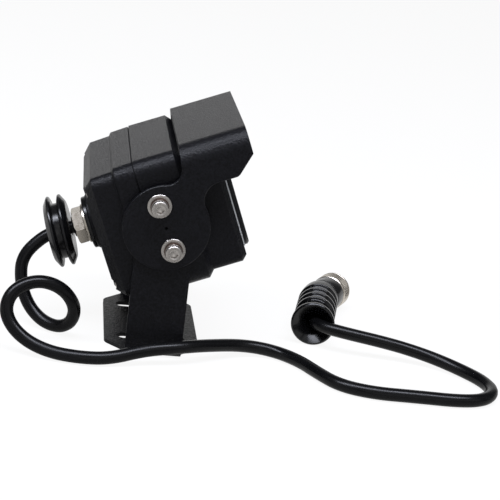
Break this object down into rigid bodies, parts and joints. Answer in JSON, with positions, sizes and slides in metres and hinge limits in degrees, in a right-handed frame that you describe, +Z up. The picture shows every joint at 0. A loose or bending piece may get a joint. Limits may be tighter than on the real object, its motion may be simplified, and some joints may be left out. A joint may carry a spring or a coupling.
{
  "type": "backup camera",
  "caption": "Reversing camera in a hooded metal case on a tilting U bracket, with a gland, a grommet and a corded screw plug.",
  "frame": {"origin": "on the surface that the bracket stands on, under the middle of the bracket's base", "axes": "+Z up from the base, -Y the way the lens faces, X along the tilt axis"},
  "size_m": [0.1204, 0.208, 0.1009],
  "materials": {
    "housing_black": "satin black powder coat with a fine grain",
    "bracket_black": "fine textured black powder coat",
    "bezel_black": "satin black paint",
    "black_rubber": "matt black rubber",
    "window_seal": "pale grey silicone rubber",
    "window_glass": "dark tinted glass",
    "lens_glass": "coated lens glass",
    "cord_jacket": "glossy black cord jacket",
    "plug_moulding": "glossy black moulded rubber and plastic",
    "insert_black": "matt black plastic",
    "nickel": "nickel plated brass with a light grain",
    "screw_steel": "stainless steel",
    "board_green": "green solder mask",
    "sensor_black": "dark package with a glossy face",
    "lens_black": "black anodised aluminium",
    "lamp_epoxy": "dark clear epoxy",
    "connector_white": "off-white nylon",
    "brass": "brass",
    "gold": "gold plated brass"
  },
  "bodies": {
    "bracket": {"bracket": "bracket_black", "cord": "cord_jacket", "plug_boot": "plug_moulding", "plug_shell": "plug_moulding", "plug_retaining_ring": "screw_steel", "plug_insert": "insert_black", "plug_pins": "gold"},
    "camera": {"rear_housing": "housing_black", "front_housing": "housing_black", "housing_gasket": "black_rubber", "window_glass": "window_glass", "window_seal": "window_seal", "front_bezel": "bezel_black", "hood": "housing_black", "mount_screws": "screw_steel", "spring_washers": "screw_steel", "flat_washers": "screw_steel", "housing_screws": "screw_steel", "lamp_board": "board_green", "main_board": "board_green", "sensor_board": "board_green", "image_sensor": "sensor_black", "board_header": "insert_black", "lead_plug": "connector_white", "board_standoffs": "brass", "board_screws": "screw_steel", "lens_barrel": "lens_black", "lens_front_glass": "lens_glass", "lens_rear_glass": "lens_glass", "lens_holder": "insert_black", "ir_lamps": "lamp_epoxy", "light_sensor": "sensor_black", "gland_washer": "black_rubber", "gland_body": "nickel", "gland_nut": "nickel", "gland_seal": "black_rubber", "gland_locknut": "nickel", "inner_lead": "cord_jacket", "cord_grommet": "black_rubber"},
    "coupling_nut": {"coupling_nut": "nickel"}
  },
  "joints": [
    {"name": "camera_tilt", "type": "hinge", "parent": "bracket", "child": "camera", "pos_m": [0, 0, 0.0568], "axis": [-1, 0, 0], "range_deg": [-67.3, 22.7], "deforming": ["cord"]},
    {"name": "coupling_nut_spin", "type": "hinge", "parent": "bracket", "child": "coupling_nut", "pos_m": [0.04155, -0.08695, 0.00829], "axis": [0.8826, -0.4694, -0.0251], "continuous": true}
  ]
}
